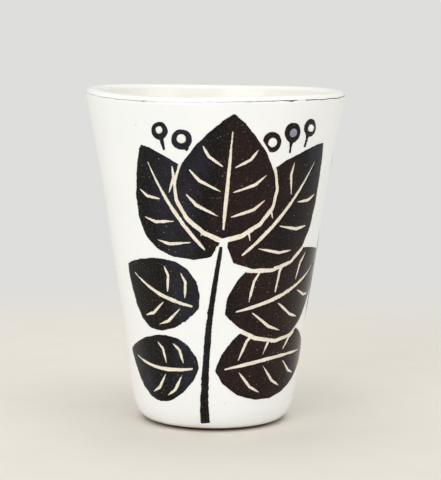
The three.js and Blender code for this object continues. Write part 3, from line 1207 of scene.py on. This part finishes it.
def handCut(outline, seed, rough=1.0, soften=2):
    # evenly spaced points round an outline, its corners eased and its edge a little ragged
    points = np.array(outline, float)
    ends = np.vstack([points, points[:1]])
    lengths = np.linalg.norm(np.diff(ends, axis=0), axis=1)
    far = np.concatenate([[0], np.cumsum(lengths)])
    count = max(int(far[-1] / drawing["step"]), drawing["fewestPoints"])
    where = np.linspace(0, far[-1], count, endpoint=False)
    even = np.column_stack([np.interp(where, far, ends[:, k]) for k in (0, 1)])
    for _ in range(soften):
        even = (np.roll(even, 1, axis=0) + 2 * even + np.roll(even, -1, axis=0)) / 4
    shake = np.array([shakeAt(s, z, seed) for s, z in even])
    return even + acrossLoop(even) * (shake * shaking["width"] * rough)[:, None]


def strokeOutline(line, widths):
    line = np.array(line, float)
    across = acrossLine(line) * (np.array(widths) / 2)[:, None]
    return np.vstack([line + across, (line - across)[::-1]])


def scratchOutline(scratch, line):
    inset, lean, fullness = scratch["swell"]
    shares = inset + (1 - 2 * inset) * np.linspace(0, 1, len(line))
    swelling = [scratch["width"] * math.sin(math.pi * w ** lean) ** fullness for w in shares]
    return strokeOutline(line, np.maximum(swelling, scratch["thinnest"]))


def ribOutline(leaf):
    points = spread(lambda t: (midrib(leaf, t), leaf["length"] * t), *rib["between"], rib["steps"])
    return scratchOutline(rib, laid(leaf, points))


def veinOutline(leaf, index, sign):
    # one scratch from near the midrib to near the edge, with a bend where the tool turned
    start = vein["first"] + vein["spacing"] * index
    end = start + vein["length"]
    a = np.array((midrib(leaf, start) + sign * vein["offMidrib"], leaf["length"] * start + vein["startRise"]))
    b = np.array((midrib(leaf, end) + sign * halfWidth(leaf, end) * vein["reach"], leaf["length"] * end))
    bend = a + (b - a) * vein["bendAt"] + np.array(vein["bendBy"]) * (sign, 1)
    below = np.linspace(a, bend, vein["pointsBelow"])
    above = np.linspace(bend, b, vein["pointsAbove"])
    return scratchOutline(vein, laid(leaf, [*below, *above[1:]]))


def stemOutline(extra):
    points = np.array(stem["line"])
    line = np.array(splineThrough(points[:, :2], stem["steps"]))
    widths = np.interp(line[:, 1], points[:, 1], points[:, 2])
    return strokeOutline(line, widths + 2 * extra)


def berryOutline(berry):
    direction = math.radians(berry["stalk"])
    half = berryStalk["halfWidth"]
    gap = math.asin(half / berry["radius"])
    centre = np.array((berry["s"], berry["z"]))
    sweep = np.linspace(direction + gap, direction - gap + 2 * math.pi, berryStalk["ringPoints"])
    ring = [centre + berry["radius"] * np.array((math.cos(a), math.sin(a))) for a in sweep]
    along = np.array((math.cos(direction), math.sin(direction)))
    across = np.array((-along[1], along[0])) * half * berryStalk["tipShare"]
    tip = centre + along * (berry["radius"] + berryStalk["reach"])
    return np.array(ring + [tip - across, tip + across])


def inward(outline, distance):
    following = np.roll(outline, -1, axis=0)
    turning = np.sum(outline[:, 0] * following[:, 1] - following[:, 0] * outline[:, 1])
    return outline - acrossLoop(outline) * distance * (1 if turning > 0 else -1)


def distanceTo(points, segments):
    # shortest distance from each point to any of the segments
    best = np.full(len(points), np.inf)
    for a, b in segments:
        line = b - a
        share = np.clip(((points - a) @ line) / max(line @ line, tiny), 0, 1)
        best = np.minimum(best, np.linalg.norm(points - (a + share[:, None] * line), axis=1))
    return best


def laidSlipTree():
    # gives a slip sheet the cup's own wobble, and its two finishes by the face attribute
    tree, into, out = shapeTree("laidSlip", {"Slip": "Material", "Line": "Material"})
    bare = attributeNode(tree, "BOOLEAN", drawing["scratchedAttribute"])
    sheet = realised(tree, wobbled(tree, into["Geometry"]))
    sheet = inMaterial(tree, sheet, into["Slip"])
    join(tree, out, {"Geometry": inMaterial(tree, sheet, into["Line"], bare)})
    return tree


laidSlip = laidSlipTree()


def rimOf(faces):
    # edges that only one of the faces has, in that face's direction
    used = {edge: True for face in faces for edge in zip(face, face[1:] + face[:1])}
    return [(a, b) for a, b in used if (b, a) not in used]


def layeredMesh(name, flat, black, bare):
    # a closed sheet: raised where it is black, cut down to the coat where it is bare
    blackRim = rimOf(black)
    outerRim = set(rimOf(black + bare))
    used = sorted({i for face in black for i in face})
    depth = np.zeros(len(flat))
    depth[used] = distanceTo(flat[used], [(flat[a], flat[b]) for a, b in blackRim])
    eased = np.sin(np.clip(depth / drawing["shoulder"], 0, 1) * math.pi / 2)
    edge = drawing["edgeShare"]
    layers = {
        "top": onSide(flat, drawing["thickness"] * (edge + (1 - edge) * eased)),
        "floor": onSide(flat, np.full(len(flat), drawing["floorRaise"])),
        "under": onSide(flat, np.full(len(flat), -drawing["sunk"])),
    }
    vertices = []
    known = {}
    faces = []
    scratched = []

    def addFace(corners, isScratched=False):
        for layer, i in corners:
            if (layer, i) not in known:
                known[(layer, i)] = len(vertices)
                vertices.append(tuple(layers[layer][i]))
        faces.append([known[corner] for corner in corners])
        scratched.append(isScratched)

    for face in black:
        addFace([("top", i) for i in face])
    for face in bare:
        addFace([("floor", i) for i in face], True)
    for face in black + bare:
        addFace([("under", i) for i in face[::-1]])
    bareCorners = {i for face in bare for i in face}
    for a, b in blackRim:
        wall = [("top", b), ("top", a), ("floor", a), ("floor", b)]
        if (a, b) in outerRim:
            # where a scratch ends at the slip's edge, the wall has its floor's corner too
            wall = [("top", b), ("top", a)] + [("floor", a)] * (a in bareCorners)
            wall += [("under", a), ("under", b)] + [("floor", b)] * (b in bareCorners)
        addFace(wall)
    for a, b in rimOf(bare):
        if (a, b) in outerRim:
            addFace([("floor", b), ("floor", a), ("under", a), ("under", b)], True)
    source = sourceFrom(name, vertices, [], faces)
    setAttribute(source, drawing["scratchedAttribute"], "BOOLEAN", "FACE", scratched)
    return settle(name, source, laidSlip, {"Slip": darkSlip, "Line": scratchedLine})


def makeSlip(motif, outline, lines, covers):
    # outline: the slip's edge. lines: scratches through it. covers: pairs of outlines,
    # a grown one that is scratched free and the true one that lies over this sheet
    loops = [outline] + lines + [loop for pair in covers for loop in pair]
    points = []
    faces = []
    for loop in loops:
        first = len(points)
        points.extend(Vector(p) for p in loop)
        faces.append(list(range(first, len(points))))
    low = outline.min(axis=0)
    high = outline.max(axis=0)
    pitch = drawing["grid"]
    for row, z in enumerate(np.arange(low[1], high[1], pitch)):
        for s in np.arange(low[0] + (row % 2) * pitch / 2, high[0], pitch):
            points.append(Vector((s, z)))
    for loop, sign in [(outline, 1)] + [(line, -1) for line in lines] + [(pair[0], -1) for pair in covers]:
        points.extend(Vector(p) for p in inward(loop, sign * drawing["shoulder"]))
    places, _, made, _, _, origins = delaunay_2d_cdt(points, [], faces, 0, drawing["weld"], True)
    linesEnd = 1 + len(lines)
    scratchedFree = {*range(1, linesEnd), *range(linesEnd, len(loops), 2)}
    covered = set(range(linesEnd + 1, len(loops), 2))
    black = []
    bare = []
    for face, origin in zip(made, map(set, origins)):
        if 0 in origin and not origin & covered:
            (bare if origin & scratchedFree else black).append(tuple(face))
    name = f"drawn_{motif}"
    mesh = layeredMesh(name, np.array([tuple(v) for v in places]), black, bare)
    finishPiece(name, mesh, f"slip_{motif}", drawing["sharpAngle"])


def touches(a, b):
    return np.all(a.min(axis=0) < b.max(axis=0)) and np.all(b.min(axis=0) < a.max(axis=0))


leafEdges = [handCut(leafOutline(leaf), i) for i, leaf in enumerate(leaves.values())]
leafBorders = [
    handCut(leafOutline(grown(leaf)), seeds["border"] + i) for i, leaf in enumerate(leaves.values())
]
stemEdge = handCut(stemOutline(0), seeds["stem"])
stemBorder = handCut(stemOutline(drawing["outlineWidth"]), seeds["stemBorder"])


def makeLeaves():
    for i, (name, leaf) in enumerate(leaves.items()):
        lines = [handCut(ribOutline(leaf), seeds["rib"] + i, rib["rough"], 0)]
        for index in range(leaf["pairs"]):
            for sign in (1, -1):
                outline = veinOutline(leaf, index, sign)
                lines.append(handCut(outline, seeds["vein"] + i + index, vein["rough"], 0))
        covers = list(zip(leafBorders[:i], leafEdges[:i])) + [(stemBorder, stemEdge)]
        covers = [pair for pair in covers if touches(pair[0], leafEdges[i])]
        makeSlip(f"leaf_{name}", leafEdges[i], lines, covers)


def makeBerries():
    for i, berry in enumerate(berries):
        outline = handCut(berryOutline(berry), seeds["berry"] + i)
        covers = [(border, border) for border in leafBorders if touches(border, outline)]
        makeSlip(f"berry_{i + 1}", outline, [], covers)


dotForm = {
    "height": 0.75,
    "rings": 20,
    "segments": 48,
    "unevenness": 0.36,
    "lumps": (1.1, 1.0),  # scale and detail
    "seedStep": 2.0,
    "lookFrom": 5.0,  # a place this far off the side gives the way that a dot faces
}


def dotTree():
    # a low round dome, thicker on one side where the glaze gathered
    tree, into, out = shapeTree("glazeDot", {
        "Radius": berries[0]["dot"] * mm,
        "Rise": dotForm["height"] * mm,
        "Unevenness": dotForm["unevenness"],
        "Seed": 0.0,
        "Material": "Material",
    })
    ball = addNode(tree, "GeometryNodeMeshUVSphere", None, {
        "Segments": dotForm["segments"], "Rings": dotForm["rings"], "Radius": 1.0,
    })
    place = pointPlace(tree)
    lump = noiseNode(tree, place, *dotForm["lumps"], seed=into["Seed"])
    uneven = times(tree, minus(tree, lump, 0.5), into["Unevenness"])
    reach = vectorOf(tree, {"X": into["Radius"], "Y": into["Radius"], "Z": into["Rise"]})
    sized = vectorNode(tree, "MULTIPLY", {0: place, 1: reach})["Vector"]
    swollen = vectorNode(tree, "SCALE", {0: sized, "Scale": plus(tree, uneven, 1.0)})["Vector"]
    dome = shapeNode(tree, "SetPosition", {"Geometry": ball.outputs["Mesh"], "Position": swollen})
    return finishTree(tree, out, dome, into["Material"])


def makeDots():
    tree = dotTree()
    for i, berry in enumerate(berries):
        name = f"glaze_bead_{i + 1}"
        mesh = settle(name, sourceFrom(name, [], [], []), tree, {
            "Radius": berry["dot"] * mm,
            "Seed": dotForm["seedStep"] * i,
            "Material": dotGlazes[berry["glaze"]],
        })
        at = np.array([(berry["s"], berry["z"])])
        base, above = (Vector(onSide(at, off)[0]) for off in (drawing["thickness"], dotForm["lookFrom"]))
        mesh.transform(Matrix.Translation(base) @ (above - base).to_track_quat("Z", "Y").to_matrix().to_4x4())
        finishPiece(name, mesh, f"glaze_dot_{i + 1}")


makeLeaves()
makeSlip("stem", stemEdge, [], [])
makeBerries()
makeDots()
print("the slip drawing is laid on")
